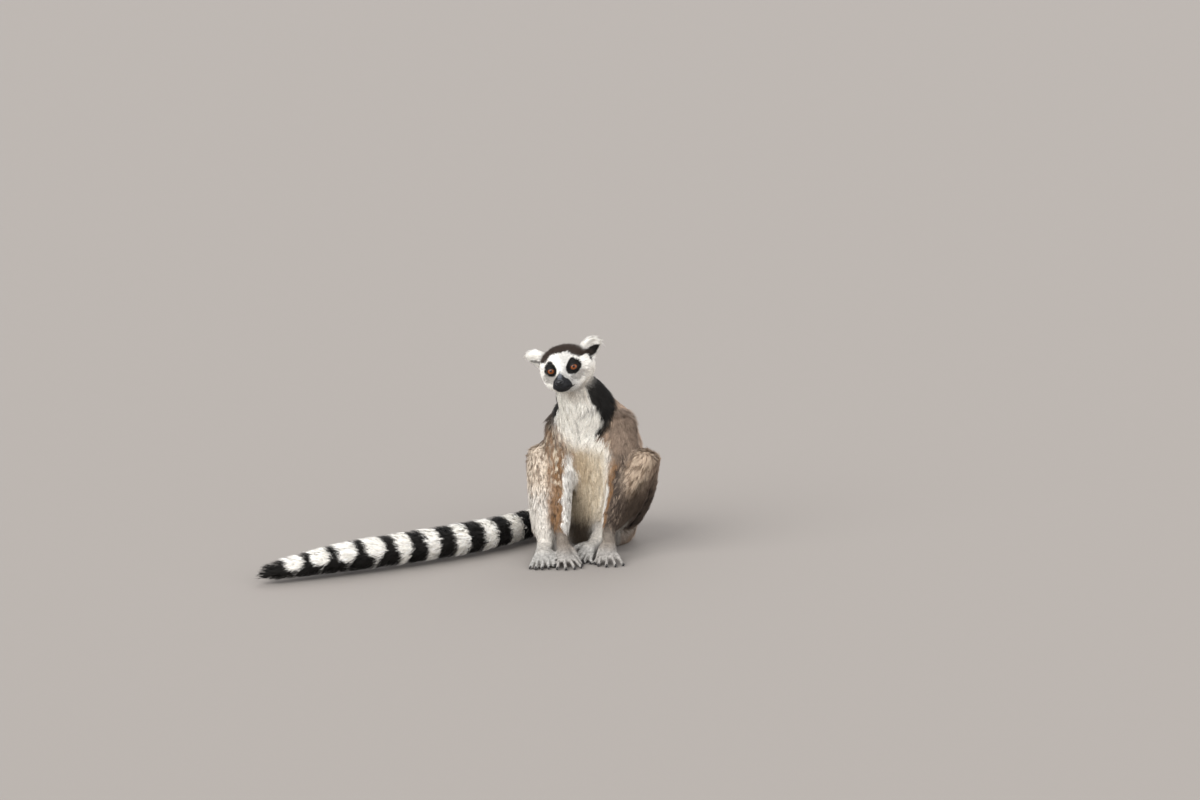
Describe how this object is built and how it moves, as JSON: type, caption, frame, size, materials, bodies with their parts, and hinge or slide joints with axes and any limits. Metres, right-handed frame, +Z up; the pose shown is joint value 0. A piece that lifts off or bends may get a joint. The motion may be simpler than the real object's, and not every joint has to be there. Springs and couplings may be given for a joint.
{
  "type": "ring-tailed lemur figure",
  "caption": "Life-size, still ring-tailed lemur sitting upright on its rump, knees up, hands and feet set down in front, long ringed tail laid along the floor.",
  "frame": {"origin": "on the floor, under the seat, between the hips", "axes": "+Z up, the animal faces -Y, +X is the animal's left side"},
  "size_m": [0.5112, 0.5079, 0.3446],
  "materials": {
    "grey_brown_fur": "soft dense fur, matt",
    "white_fur": "short soft fur, matt",
    "ringed_fur": "long bushy fur in black and white rings",
    "black_leather": "moist, finely pebbled bare skin",
    "amber_eye": "wet and glossy"
  },
  "bodies": {
    "root": {"head": "white_fur", "ear_left": "white_fur", "ear_right": "white_fur", "eye_left": "amber_eye", "eye_right": "amber_eye", "nose": "black_leather", "neck": "grey_brown_fur", "trunk": "grey_brown_fur", "upper_arm_left": "grey_brown_fur", "upper_arm_right": "grey_brown_fur", "forearm_left": "grey_brown_fur", "forearm_right": "grey_brown_fur", "hand_left": "white_fur", "hand_right": "white_fur", "thigh_left": "grey_brown_fur", "thigh_right": "grey_brown_fur", "shin_left": "grey_brown_fur", "shin_right": "grey_brown_fur", "foot_left": "white_fur", "foot_right": "white_fur", "tail_1": "ringed_fur", "tail_2": "ringed_fur", "tail_3": "ringed_fur", "tail_4": "ringed_fur", "tail_5": "ringed_fur", "tail_6": "ringed_fur"}
  },
  "joints": []
}
